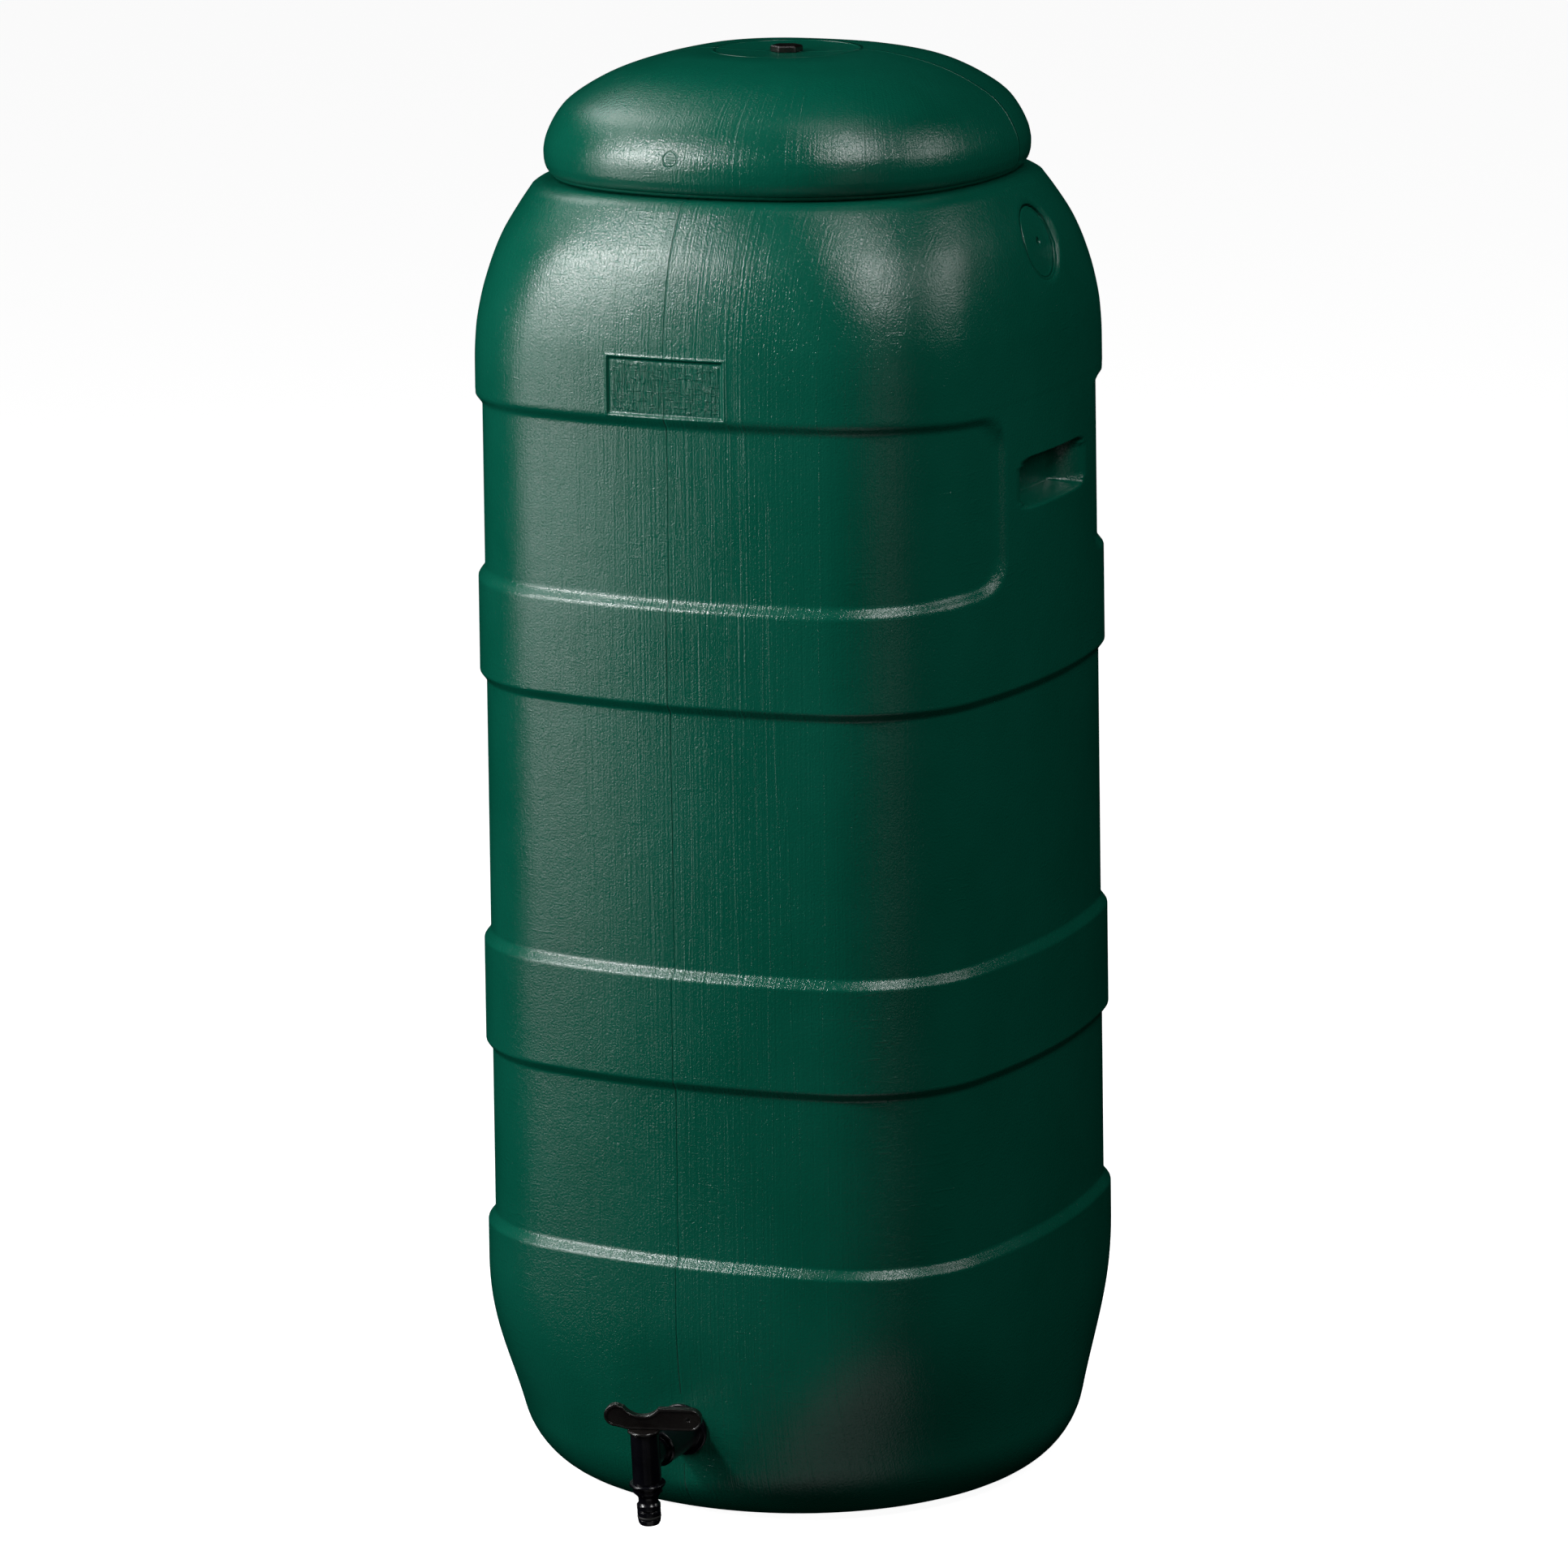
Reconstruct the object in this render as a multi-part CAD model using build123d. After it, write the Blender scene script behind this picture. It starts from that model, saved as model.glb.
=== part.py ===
"""Slimline rain barrel with lift-off lid, turn-bar lid lock and quarter-turn tap.

Units are millimetres. The floor is z = 0, +Z is up, the barrel's axis is the Z axis,
the front (tap and label panel) faces -Y and the lifting pockets are on the +X and -X sides.
"""

import math
import os

from build123d import *

# Plan shape: a square with bowed sides (radius SIDE_R) and rounded corners (radius CORNER_R)
HALF_WIDTH = 191.0
DRAFT = 0.0056
SIDE_R = 530.0
CORNER_R = 94.0
WALL_T = 3.0

# Heights where the wall meets the raised bands
BASE_BAND_TOP = 187.0
LOW_BAND_BOTTOM = 301.0
LOW_BAND_TOP = 385.0
MID_BAND_BOTTOM = 557.0
MID_BAND_TOP = 634.0
SHOULDER_STEP = 747.0
BAND_PROUD = 4.5
BASE_PROUD = 5.0
BAND_SLOPE_H = 9.0

# Rounded base: edge radius at the floor, lean of its wall and height where it is fully square
BASE_EDGE_R = 42.0
BASE_LEAN = 7.7
BASE_LEAN_TOP = 130.0
BASE_ROUND_TOP = 155.0

# Shoulder: (height above the step, reach of the plan 26 degrees off the side, corner centre)
SHOULDER_STATIONS = (
    (9, 211.8, 85.5),
    (30, 211.6, 85.0),
    (50, 210.3, 82.0),
    (70, 206.7, 77.0),
    (90, 200.8, 69.0),
    (110, 192.5, 58.0),
    (130, 180.2, 45.0),
    (142, 171.6, 36.0),
    (146.5, 166.0, 30.0),
)
REACH_ANGLE = math.radians(26)
NECK_SIDE_R = 255.0

# Neck collar under the lid
LEDGE_Z = SHOULDER_STEP + 146.5
NECK_HALF = 143.5
NECK_WALL = 4.0
NECK_TOP = 934.0

# Lid
LID_HALF = 157.2
LID_CORNER_R = 124.7
LID_SIDE_R = 252.7
LID_T = 3.0
LID_STATIONS = (
    # (inset from the widest plan, height)
    (7.4, 895.7),
    (4.2, 897.6),
    (1.6, 901.2),
    (0.2, 906.5),
    (0.0, 911.5),
    (0.9, 918.0),
    (3.6, 925.6),
    (13.7, 941.6),
    (29.7, 953.6),
    (53.7, 965.2),
    (77.7, 972.0),
    (97.0, 975.2),
    (112.0, 975.5),
)
LID_DISH_R = 48.0
LID_DISH_DEPTH = 2.1
LID_RING_R = 49.5
LID_RING_W = 1.6

# Label panel on the front of the shoulder
LABEL_HALF_W = 42.0
LABEL_Z = (755.5, 793.5)
LABEL_DEPTH = 1.0

# Lifting pockets and the raised side panels around them
SIDE_Y = 8.5
PANEL_HALF = 78.0
PANEL_CORNER_R = 22.0
POCKET_Z = 698.5
POCKET_W = 108.0
POCKET_H = 35.0
POCKET_START = 200.0
POCKET_WALL = 191.5
POCKET_FLOOR = 168.0
POCKET_RISE = 3.5
POCKET_ROUND = 11.0

# Round knock-outs for a rain diverter
KNOCKOUT_REACH = 178.0
KNOCKOUT_Y = 12.0
KNOCKOUT_Z = SHOULDER_STEP + 106.0
KNOCKOUT_R = 26.0
KNOCKOUT_GROOVE = 2.5
KNOCKOUT_TILT = 25.0

# Lid lock
BOLT_R = 5.0
BOLT_HEAD_AF = 19.0
BOLT_HEAD_H = 4.2
BOLT_HEAD_TURN = 26.0
BOLT_BOTTOM = 871.5
BAR_HALF = 144.0
BAR_W = 18.0
BAR_T = 5.0
BAR_TOP = 888.5
LOCK_NUT_H = 8.0
LOCK_NUT_AF = 16.0

# Tap: it stands square to a leaning flat on the base, with a shallow round seat
TAP_Z = 66.0
FLAT_Y = -188.9
TAP_TILT = 4.6
TAP_SEAT_Y = -187.7
TAP_SEAT_R = 25.0
TAP_SEAT_T = 6.0
TAP_HOLE_R = 10.4

# Tap pieces, measured from the seat's centre along the spigot (-Y is outward)
TAP_REACH = 56.2
SPIGOT_R = 10.0
SPIGOT_BORE_R = 6.0
WASHER_R = 17.0
OUTER_WASHER_T = 1.0
INNER_WASHER_T = 2.0
FLANGE_R = 18.0
FLANGE_T = 2.2
FLANGE_ROUND = 0.8
NUT_AF = 30.0
NUT_H = 9.0
TUBE_R = 9.7
TUBE_BORE_R = 7.3
TUBE_TOP = 18.5
TUBE_BOTTOM = -17.0
INLET_R = 9.0
HOUSING_R = 12.6
HOUSING_ROOT_R = 13.6
HOUSING_GAP = 16.5
HOUSING_ROUND = 1.0
ROTOR_R = 7.22
ROTOR_BORE_R = 4.5
ROTOR_LOW = -12.0
ROTOR_PORT_TOP = 6.0
SEAL_MINOR = 1.05
LEVER_REST_DEG = 14.0
LEVER_T = 6.0
LEVER_RIM = 1.3
LEVER_DISH = 0.8
LEVER_EDGE = 0.35
ARM_LONG = 39.6
ARM_SHORT = 26.6
ARM_H = 15.0
PADDLE_R = 7.6
PADDLE_Y = 9.6
NOTCH_R = 15.0
NOTCH_X = -1.4
NOTCH_FLOOR = 9.5
DIMPLE_R = 1.5
CAP_R = 11.4
CAP_T = 2.2
CAP_EDGE = 0.7


def plan_from(corner_c, corner_r, side_r):
    """The plan's key points and arcs, as (corner centre offset, corner radius, side radius, half)."""
    half = corner_c + side_r - math.sqrt((side_r - corner_r) ** 2 - corner_c**2)
    return corner_c, corner_r, side_r, half


def corner_centre(half, corner_r, side_r):
    """Offset of the corner arc's centre so that it meets the side arc tangentially."""
    k = side_r - half
    disc = k * k - (k * k - (side_r - corner_r) ** 2) * 2
    return (-k + math.sqrt(disc)) / 2


BODY_C = corner_centre(188.0, CORNER_R, SIDE_R)
LID_C = corner_centre(LID_HALF, LID_CORNER_R, LID_SIDE_R)


def wall_plan(proud=0.0, z=0.0):
    """The body's plan at height z, moved outward by proud."""
    shift = HALF_WIDTH - DRAFT * z - 188.0 + proud
    return plan_from(BODY_C, CORNER_R + shift, SIDE_R + shift)


def grown(plan, by):
    """A plan moved outward everywhere by the same distance."""
    return plan_from(plan[0], plan[1] + by, plan[2] + by)


def round_blend(plan, share):
    """A plan turned partly into a circle of the same half width."""
    c, corner_r, side_r, half = plan
    side = (1 - share) * side_r + share * (half + 1)
    corner = (1 - share) * corner_r + share * (half - 1)
    return plan_from(corner_centre(half, corner, side), corner, side)


def plan_wire(plan, z):
    """A closed wire of four side arcs and four corner arcs at height z."""
    c, corner_r, side_r, half = plan
    joint_angle = math.atan2(c, c + side_r - half)
    edges = []
    for quarter in range(4):
        turn = math.pi / 2 * quarter

        def at(centre, radius, angle, turn=turn):
            x = centre[0] + radius * math.cos(angle)
            y = centre[1] + radius * math.sin(angle)
            return (
                x * math.cos(turn) - y * math.sin(turn),
                x * math.sin(turn) + y * math.cos(turn),
                z,
            )

        side_centre = (half - side_r, 0)
        edges.append(
            ThreePointArc(
                at(side_centre, side_r, -joint_angle),
                at(side_centre, side_r, 0),
                at(side_centre, side_r, joint_angle),
            )
        )
        edges.append(
            ThreePointArc(
                at((c, c), corner_r, joint_angle),
                at((c, c), corner_r, math.pi / 4),
                at((c, c), corner_r, math.pi / 2 - joint_angle),
            )
        )
    return Wire(edges)


def stack(stations, ruled=False):
    """A solid lofted through (plan, height) stations."""
    return Part() + Solid.make_loft([plan_wire(plan, z) for plan, z in stations], ruled)


def fade(t):
    """1 at t = 0, easing down to 0 at t = 1 and beyond."""
    return 0.5 * (1 + math.cos(math.pi * min(t, 1.0)))


def base_stations(inset):
    """The rounded base: nearly circular at the floor, square with bowed sides at the top."""
    top = BASE_BAND_TOP - BAND_SLOPE_H
    stations = []
    for z in (0.0, 3.0, 8.0, 16.0, 28.0, 42.0, 60.0, 80.0, 102.0, 128.0, 155.0, top):
        below = max(BASE_EDGE_R - z, 0.0)
        run = math.sqrt(BASE_EDGE_R**2 - below**2)
        inward = BASE_EDGE_R - run + BASE_LEAN * fade(z / BASE_LEAN_TOP)
        share = 0.97 * fade(z / BASE_ROUND_TOP)
        tilt = below / BASE_EDGE_R
        plan = grown(wall_plan(BASE_PROUD, z), -inward)
        stations.append((grown(round_blend(plan, share), -inset * run / BASE_EDGE_R), z + inset * tilt))
    return stations


def band_stations(inset):
    """Wall and raised bands from the base band's top edge up to the shoulder."""
    h = BAND_SLOPE_H
    steps = (
        (BASE_PROUD, BASE_BAND_TOP - h),
        (0.0, BASE_BAND_TOP),
        (0.0, LOW_BAND_BOTTOM),
        (BAND_PROUD, LOW_BAND_BOTTOM + h),
        (BAND_PROUD, LOW_BAND_TOP - h),
        (0.0, LOW_BAND_TOP),
        (0.0, MID_BAND_BOTTOM),
        (BAND_PROUD, MID_BAND_BOTTOM + h),
        (BAND_PROUD, MID_BAND_TOP - h),
        (0.0, MID_BAND_TOP),
        (0.0, SHOULDER_STEP),
        (BAND_PROUD, SHOULDER_STEP + h),
    )
    return [(grown(wall_plan(proud, z), -inset), z) for proud, z in steps]


def shoulder_plan(reach, c):
    """A shoulder plan from its reach and its corner centre."""
    corner_r = reach - c * (math.cos(REACH_ANGLE) + math.sin(REACH_ANGLE))
    share = (c - 30.0) / (BODY_C - 30.0)
    return plan_from(c, corner_r, NECK_SIDE_R + share * (SIDE_R + 4 - NECK_SIDE_R))


def shoulder_stations(inset):
    """The domed shoulder, from the band above the step up to the ledge the lid hangs over."""
    stations = []
    count = len(SHOULDER_STATIONS)
    for i, (rise, reach, c) in enumerate(SHOULDER_STATIONS):
        before = SHOULDER_STATIONS[max(i - 1, 0)]
        after = SHOULDER_STATIONS[min(i + 1, count - 1)]
        slope = math.atan2(before[1] - after[1], after[0] - before[0])
        plan = shoulder_plan(reach, c)
        if i == 0:
            plan = wall_plan(BAND_PROUD, SHOULDER_STEP + rise)
            slope = 0.0
        stations.append(
            (grown(plan, -inset * math.cos(slope)), SHOULDER_STEP + rise - inset * math.sin(slope))
        )
    return stations


def body_solid(inset):
    """The body without its openings, shrunk inward by inset."""
    base = stack(base_stations(inset))
    bands = stack(band_stations(inset), ruled=True)
    shoulder = stack(shoulder_stations(inset))
    left, right = panels(inset)
    return base + bands + shoulder + left + right


def panels(inset):
    """Raised side panels that join the middle band to the shoulder around the pockets."""
    h = BAND_SLOPE_H
    low, high = MID_BAND_TOP - h, SHOULDER_STEP + h
    ring = stack(
        [
            (grown(wall_plan(BAND_PROUD, low), -inset), low),
            (grown(wall_plan(BAND_PROUD, high), -inset), high),
        ],
        ruled=True,
    )
    half = PANEL_HALF - inset
    window_h = SHOULDER_STEP - MID_BAND_TOP
    outline = Rectangle(2 * (half + PANEL_CORNER_R), high - low)
    window = RectangleRounded(200, window_h - 2 * inset, PANEL_CORNER_R)
    mid = (SHOULDER_STEP + MID_BAND_TOP) / 2 - (low + high) / 2
    for sign in (-1, 1):
        outline -= Pos(sign * (half + 100), mid) * window
    made = []
    for sign in (-1, 1):
        plane = Plane(
            origin=(sign * 120, SIDE_Y, (low + high) / 2), x_dir=(0, 1, 0), z_dir=(sign, 0, 0)
        )
        block = extrude(plane * outline, 100)
        made.append(ring & block)
    return made


def pocket(side, grow):
    """A lifting pocket: a rounded slot whose floor rises a little towards its back."""
    depth = POCKET_START - POCKET_FLOOR + grow
    low = -POCKET_H / 2 - grow
    wall = POCKET_START - POCKET_WALL
    start = (side * POCKET_START, SIDE_Y, POCKET_Z)
    across = Plane(origin=start, x_dir=(0, side, 0), z_dir=(-side, 0, 0))
    along = Plane(origin=start, x_dir=(-side, 0, 0), z_dir=(0, side, 0))
    mouth = RectangleRounded(POCKET_W + 2 * grow, POCKET_H + 2 * grow, POCKET_ROUND + grow)
    wedge = Polyline((wall, low), (depth + 1, low), (depth + 1, low + POCKET_RISE), close=True)
    return extrude(across * mouth, depth) - extrude(along * make_face(wedge), POCKET_W, both=True)


def knockout(side, face):
    """A bar through the shoulder where a knock-out lies, with the given face as its section."""
    tilt = math.radians(KNOCKOUT_TILT)
    normal = (side * math.cos(tilt), 0, math.sin(tilt))
    centre = (side * KNOCKOUT_REACH, KNOCKOUT_Y, KNOCKOUT_Z)
    plane = Plane(origin=centre, x_dir=(0, 1, 0), z_dir=normal)
    return extrude(plane * face, 12, both=True)


def cut_knockouts(body):
    """Sinks both knock-outs: a shallow disc, a groove round it and a dimple to start a drill in."""
    groove = Circle(KNOCKOUT_R) - Circle(KNOCKOUT_R - KNOCKOUT_GROOVE)
    for depth, face in ((0.7, Circle(KNOCKOUT_R)), (1.4, groove), (1.6, Circle(2))):
        skin = stack(shoulder_stations(depth))
        for side in (-1, 1):
            body = body - (knockout(side, face) - skin)
    return body


def on_seat(piece):
    """Moves a piece from the tap's own axes to its place on the leaning seat."""
    return Pos(0, TAP_SEAT_Y, TAP_Z) * Rotation(TAP_TILT, 0, 0) * piece


def in_front_of_flat(inset):
    """Everything in front of the leaning flat that carries the tap."""
    block = Pos(0, inset - 50, 0) * Box(400, 100, 300)
    return Pos(0, FLAT_Y, TAP_Z) * Rotation(TAP_TILT, 0, 0) * block


def seat_tap(body):
    """Makes the tap's round seat, the pad behind it and the hole for the spigot."""
    body = body - on_seat(along_y(TAP_SEAT_R, -12, 0))
    body = body + on_seat(along_y(TAP_SEAT_R, 0, TAP_SEAT_T))
    return body - on_seat(along_y(TAP_HOLE_R, -12, 30))


def make_body():
    """The blow-moulded body: base, wall, bands, shoulder, neck collar and its recesses."""
    outer = body_solid(0) - in_front_of_flat(0)
    inner = body_solid(WALL_T) - in_front_of_flat(WALL_T)
    for side in (-1, 1):
        outer = outer - pocket(side, 0)
        inner = inner - pocket(side, WALL_T)
    mouth_plan = neck_plan(NECK_HALF - NECK_WALL)
    mouth = stack([(mouth_plan, LEDGE_Z - 9), (mouth_plan, NECK_TOP + 1)])
    collar = neck_ring(LEDGE_Z - WALL_T, NECK_TOP, NECK_HALF)
    body = outer - inner - mouth + (collar - mouth)
    label = Box(2 * LABEL_HALF_W, 60, LABEL_Z[1] - LABEL_Z[0])
    label = Pos(0, -190, sum(LABEL_Z) / 2) * label
    body = body - (label - stack(shoulder_stations(LABEL_DEPTH)))
    return seat_tap(cut_knockouts(body))


def neck_plan(half):
    """The neck's plan: the lid's shape drawn in to the given half width."""
    by = half - LID_HALF
    return plan_from(LID_C, LID_CORNER_R + by, LID_SIDE_R + by)


def neck_ring(low, high, half):
    """A straight solid with the neck's plan."""
    return stack([(neck_plan(half), low), (neck_plan(half), high)])


def lid_plan(inset):
    """The lid's plan, drawn in by inset and turning round towards its centre."""
    half = LID_HALF - inset
    corner = max(LID_CORNER_R - inset, 0.5 * half)
    side = max(LID_SIDE_R - 0.6 * inset, half + 1)
    share = min(max((inset - 60) / 66, 0.0), 1.0)
    c = corner_centre(half, corner, side)
    return round_blend(plan_from(c, corner, side), share)


def lid_solid(inset):
    """The lid's dome as a solid, shrunk inward by inset."""
    stations = []
    count = len(LID_STATIONS)
    for i, (draw, z) in enumerate(LID_STATIONS):
        before = LID_STATIONS[max(i - 1, 0)]
        after = LID_STATIONS[min(i + 1, count - 1)]
        slope = math.atan2(after[0] - before[0], after[1] - before[1])
        if i == 0:
            slope = 0.0
        stations.append((lid_plan(draw + inset * math.cos(slope)), z - inset * math.sin(slope)))
    return stack(stations)


def dish(drop):
    """A ball whose lowest cap is the shallow dish in the lid's top, lowered by drop."""
    radius = (LID_DISH_R**2 + LID_DISH_DEPTH**2) / (2 * LID_DISH_DEPTH)
    return Pos(0, 0, dish_z() - drop + radius) * Sphere(radius)


def dish_z():
    """Height of the dish's lowest point, where the lock bolt sits."""
    return LID_STATIONS[-1][1] - LID_DISH_DEPTH


def make_lid():
    """The domed lid, open below, with a ring round its dished centre and a bolt hole."""
    lid = (lid_solid(0) - dish(0)) - (lid_solid(LID_T) - dish(LID_T))
    lid = lid - Pos(0, 0, dish_z()) * Cylinder(BOLT_R + 0.3, 60)
    ring = Circle(LID_RING_R + LID_RING_W / 2) - Circle(LID_RING_R - LID_RING_W / 2)
    cutter = extrude(Plane.XY.offset(LID_STATIONS[-1][1] - 15) * ring, 30)
    return lid - (cutter - (lid_solid(0.8) - dish(0.8)))


def hexagon_prism(across_flats, low, high):
    """An upright hexagonal prism."""
    face = RegularPolygon(across_flats / 2, 6, major_radius=False)
    return extrude(Plane.XY.offset(low) * face, high - low)


def make_lock_bolt():
    """Hexagon-headed lock bolt through the lid's centre."""
    seat = dish_z() + 0.35
    head = hexagon_prism(BOLT_HEAD_AF, seat, seat + BOLT_HEAD_H)
    head = chamfer(head.faces().sort_by(Axis.Z)[-1].edges(), 0.9)
    shank = Pos(0, 0, (seat + BOLT_BOTTOM) / 2) * Cylinder(BOLT_R, seat - BOLT_BOTTOM)
    return Rotation(0, 0, BOLT_HEAD_TURN) * head + shank


def make_lock_bar():
    """Turn bar that passes the neck's diagonal and locks under its ledge."""
    bar = SlotOverall(2 * BAR_HALF, BAR_W) - Circle(BOLT_R)
    bar = extrude(Plane.XY.offset(BAR_TOP - BAR_T) * bar, BAR_T)
    return bar.rotate(Axis.Z, 45)


def make_lock_nut():
    """Nut that holds the turn bar on the bolt."""
    top = BAR_TOP - BAR_T
    nut = hexagon_prism(LOCK_NUT_AF, top - LOCK_NUT_H, top)
    return nut - Pos(0, 0, top) * Cylinder(BOLT_R, 40)


def along_y(radius, y0, y1):
    """A round bar along the spigot's axis between two stations."""
    plane = Plane(origin=(0, y0, 0), x_dir=(1, 0, 0), z_dir=(0, 1, 0))
    return extrude(plane * Circle(radius), y1 - y0)


def upright(radius, z0, z1):
    """A round bar on the tap's upright axis between two heights."""
    return Pos(0, -TAP_REACH, (z0 + z1) / 2) * Cylinder(radius, z1 - z0)


def make_housing():
    """The thick inlet housing: it widens from its rounded front rim back to the flange."""
    front = HOUSING_GAP - TAP_REACH
    back = -OUTER_WASHER_T - FLANGE_T
    outline = Polyline(
        (0, front),
        (HOUSING_R - HOUSING_ROUND, front),
        (HOUSING_R, front + HOUSING_ROUND),
        (HOUSING_ROOT_R, back),
        (0, back),
        close=True,
    )
    return revolve(make_face(outline), Axis.Y)


def make_flange():
    """The flange against the outer washer, with its front edge rounded."""
    front = -OUTER_WASHER_T - FLANGE_T
    disc = along_y(FLANGE_R, front, -OUTER_WASHER_T)
    return fillet(disc.faces().sort_by(Axis.Y)[0].edges(), FLANGE_ROUND)


def make_tap_body():
    """Tap body: upright tube, inlet with its housing, flange and threaded spigot."""
    spigot_end = TAP_SEAT_T + INNER_WASHER_T + NUT_H + 4
    body = upright(TUBE_R, TUBE_BOTTOM, TUBE_TOP)
    body += along_y(INLET_R, -TAP_REACH, 0)
    body += make_housing() + make_flange()
    body += along_y(SPIGOT_R, -OUTER_WASHER_T - FLANGE_T, spigot_end)
    body -= upright(TUBE_BORE_R, TUBE_BOTTOM - 1, TUBE_TOP + 1)
    body -= along_y(SPIGOT_BORE_R, -TAP_REACH, spigot_end + 1)
    return body


def rotor_seal_z():
    """Heights of the two O-rings on the rotor."""
    return TUBE_TOP - 4.0, ROTOR_LOW + 3.0


def lever_outline(inset):
    """The lever's wing, drawn in by inset: rounded paddle, thumb notch and long arm."""
    top = ARM_H - inset
    root_x = -ARM_SHORT + PADDLE_R
    paddle = Pos(root_x, PADDLE_Y) * Circle(PADDLE_R - inset)
    link = Polyline(
        (root_x, PADDLE_Y - PADDLE_R + inset),
        (root_x + 8, inset),
        (root_x + 8, top),
        (root_x, PADDLE_Y + PADDLE_R - inset),
        close=True,
    )
    end_x = ARM_LONG - ARM_H / 2
    arm = Pos((root_x + 8 + end_x) / 2, ARM_H / 2) * Rectangle(end_x - root_x - 8, ARM_H - 2 * inset)
    end = Pos(end_x, ARM_H / 2) * Circle(ARM_H / 2 - inset)
    notch = Pos(NOTCH_X, NOTCH_FLOOR + NOTCH_R) * Circle(NOTCH_R + inset)
    return paddle + make_face(link) + arm + end - notch


def make_wing(low):
    """The lever's upright wing, with both faces dished inside a rim and a dimple in its long arm."""
    plane = Plane(origin=(0, LEVER_T / 2, low), x_dir=(1, 0, 0), z_dir=(0, -1, 0))
    core = extrude(plane.offset(LEVER_EDGE) * lever_outline(0), LEVER_T - 2 * LEVER_EDGE)
    wing = core + extrude(plane * lever_outline(LEVER_EDGE), LEVER_T)
    dished = lever_outline(LEVER_RIM)
    wing -= extrude(plane * dished, LEVER_DISH)
    wing -= extrude(plane.offset(LEVER_T - LEVER_DISH) * dished, LEVER_DISH)
    dimple = Pos(ARM_LONG - 9, ARM_H / 2) * Circle(DIMPLE_R)
    return wing - extrude(plane.offset(LEVER_T - LEVER_DISH - 0.8) * dimple, 2)


def make_rotor(top):
    """The hollow rotor below the lever's cap, with two O-ring grooves and a side port."""
    rotor = Pos(0, 0, (top + ROTOR_LOW) / 2) * Cylinder(ROTOR_R, top - ROTOR_LOW)
    for z in rotor_seal_z():
        rotor -= Pos(0, 0, z) * (Cylinder(9, 2.4) - Cylinder(ROTOR_R - 2.15, 3))
    bore = Cylinder(ROTOR_BORE_R, ROTOR_PORT_TOP - ROTOR_LOW)
    rotor -= Pos(0, 0, (ROTOR_PORT_TOP + ROTOR_LOW) / 2) * bore
    return rotor - Pos(ROTOR_R / 2, 0, 0) * Rotation(0, 90, 0) * Cylinder(ROTOR_BORE_R, ROTOR_R + 2)


def make_lever():
    """Lever with its cap and hollow rotor, turned to the closed position."""
    cap_top = TUBE_TOP + 0.3 + CAP_T
    cap = Pos(0, 0, cap_top - CAP_T / 2) * Cylinder(CAP_R, CAP_T)
    cap = chamfer(cap.edges().filter_by(GeomType.CIRCLE), CAP_EDGE)
    lever = Rotation(0, 0, LEVER_REST_DEG) * make_wing(cap_top) + cap + make_rotor(cap_top - CAP_T)
    return Pos(0, -TAP_REACH, 0) * lever


def make_rotor_seal(z):
    """O-ring in a groove of the rotor."""
    return Pos(0, -TAP_REACH, z) * Torus(ROTOR_R - SEAL_MINOR, SEAL_MINOR)


def make_nozzle():
    """Screwed-in nozzle: collar, taper, neck and click nipple with an O-ring groove."""
    z = TUBE_BOTTOM
    shank = TUBE_BORE_R - 0.05
    profile = [
        (4.0, z + 4),
        (shank, z + 4),
        (shank, z),
        (11.6, z),
        (12.2, z - 0.6),
        (12.2, z - 1.6),
        (11.6, z - 2.2),
        (10.0, z - 2.6),
        (10.0, z - 6.5),
        (7.2, z - 9.5),
        (6.7, z - 11.0),
        (6.7, z - 14.0),
        (7.4, z - 15.0),
        (8.0, z - 15.6),
        (8.0, z - 18.6),
        (7.0, z - 18.9),
        (7.0, z - 19.6),
        (7.9, z - 19.9),
        (7.9, z - 23.0),
        (5.8, z - 23.0),
        (5.8, z - 25.6),
        (7.8, z - 25.6),
        (7.4, z - 28.2),
        (6.6, z - 29.6),
        (4.0, z - 29.6),
    ]
    face = make_face(Plane.XZ * Polyline(*profile, close=True))
    return Pos(0, -TAP_REACH, 0) * revolve(face, Axis.Z)


def make_nozzle_seal():
    """O-ring on the click nipple."""
    return Pos(0, -TAP_REACH, TUBE_BOTTOM - 24.3) * Torus(6.95, 1.12)


def make_washer(y0, thickness):
    """A flat ring around the spigot."""
    hole = along_y(SPIGOT_R + 0.1, y0 - 1, y0 + thickness + 1)
    return along_y(WASHER_R, y0, y0 + thickness) - hole


def make_back_nut():
    """Hexagonal nut that clamps the tap from inside the barrel."""
    y0 = TAP_SEAT_T + INNER_WASHER_T
    plane = Plane(origin=(0, y0, 0), x_dir=(1, 0, 0), z_dir=(0, 1, 0))
    nut = extrude(plane * RegularPolygon(NUT_AF / 2, 6, major_radius=False), NUT_H)
    return nut - along_y(SPIGOT_R + 0.05, y0 - 1, y0 + NUT_H + 1)


def tap_pieces():
    """Every piece of the tap, in the tap's own axes."""
    upper, lower = rotor_seal_z()
    return {
        "tap_body": make_tap_body(),
        "tap_lever": make_lever(),
        "tap_rotor_seal_upper": make_rotor_seal(upper),
        "tap_rotor_seal_lower": make_rotor_seal(lower),
        "tap_nozzle": make_nozzle(),
        "tap_nozzle_seal": make_nozzle_seal(),
        "tap_outer_washer": make_washer(-OUTER_WASHER_T, OUTER_WASHER_T),
        "tap_inner_washer": make_washer(TAP_SEAT_T, INNER_WASHER_T),
        "tap_back_nut": make_back_nut(),
    }


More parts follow.
